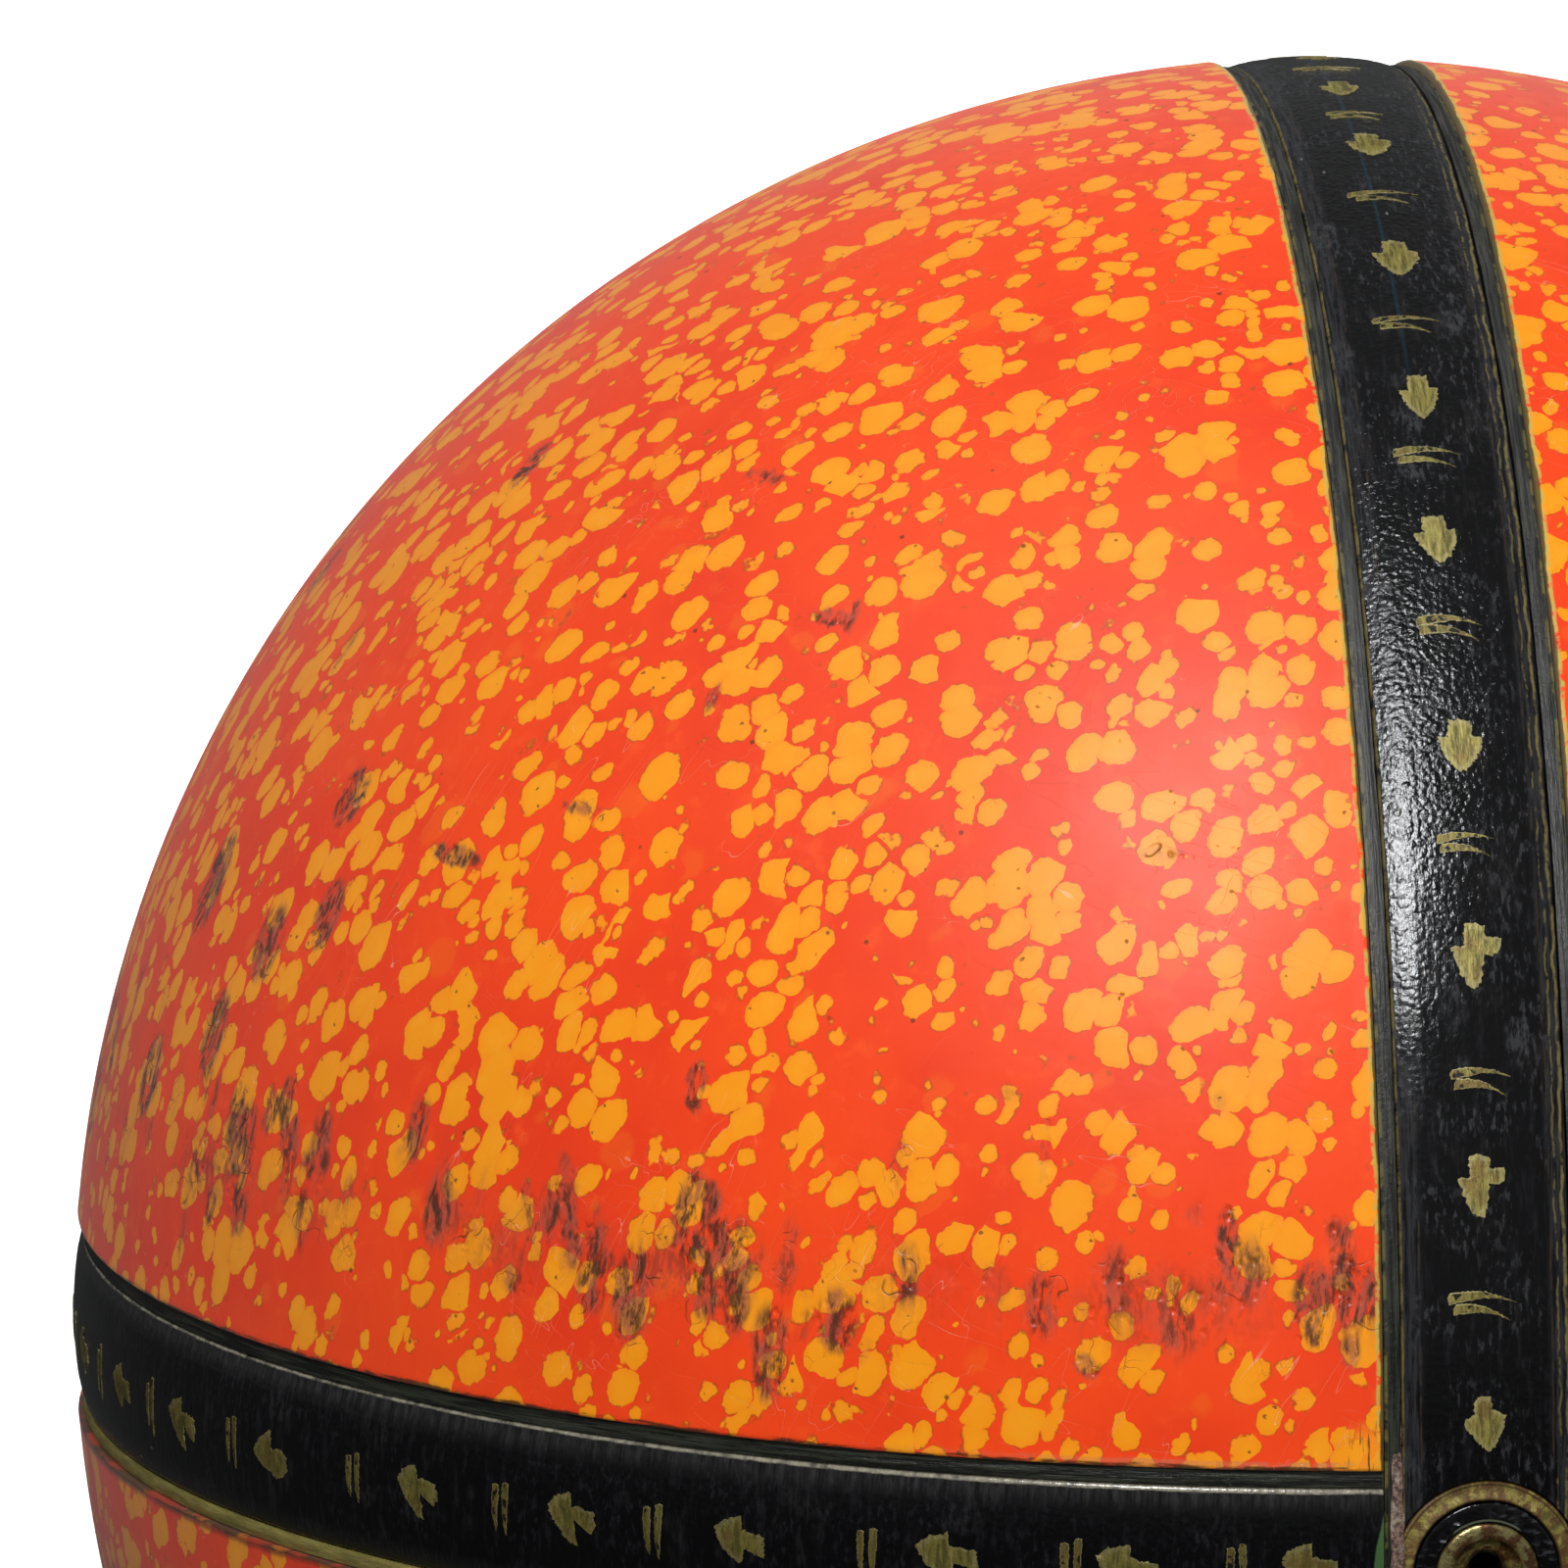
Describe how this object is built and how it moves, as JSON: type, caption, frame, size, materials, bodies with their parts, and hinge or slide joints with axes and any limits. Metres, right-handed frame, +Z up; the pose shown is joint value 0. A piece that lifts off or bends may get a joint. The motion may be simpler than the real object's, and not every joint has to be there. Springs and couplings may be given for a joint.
{
  "type": "croquet ball",
  "caption": "Croquet ball in spotted red-orange and yellow lacquer, crossed by black bands with gilt leaf motifs and a gilt-ringed brass eyelet at each crossing.",
  "frame": {"origin": "centre of the ball", "axes": "-Y towards the front boss, where the bands cross in front of the viewer, +Z up along the vertical band, +X to the viewer's right along the horizontal band"},
  "size_m": [0.0922, 0.0924, 0.0922],
  "materials": {
    "spotted_lacquer": "gloss",
    "black_lacquer": "gloss",
    "fillet_paint": "satin",
    "core_wood": "matte",
    "gilt": "satin",
    "aged_brass": "satin"
  },
  "bodies": {
    "root": {"core": "core_wood", "panel_lower_left": "spotted_lacquer", "horizontal_fillet_lower_left": "gilt", "vertical_fillet_lower_left": "fillet_paint", "panel_lower_right": "spotted_lacquer", "horizontal_fillet_lower_right": "gilt", "vertical_fillet_lower_right": "fillet_paint", "vertical_band_lower": "black_lacquer", "panel_upper_left": "spotted_lacquer", "horizontal_fillet_upper_left": "fillet_paint", "vertical_fillet_upper_left": "fillet_paint", "panel_upper_right": "spotted_lacquer", "horizontal_fillet_upper_right": "fillet_paint", "vertical_fillet_upper_right": "fillet_paint", "vertical_band_upper": "black_lacquer", "horizontal_band_left": "black_lacquer", "horizontal_band_right": "black_lacquer", "boss_front": "black_lacquer", "boss_front_rim": "gilt", "boss_front_eyelet": "aged_brass", "boss_back": "black_lacquer", "boss_back_rim": "gilt", "boss_back_eyelet": "aged_brass"}
  },
  "joints": []
}
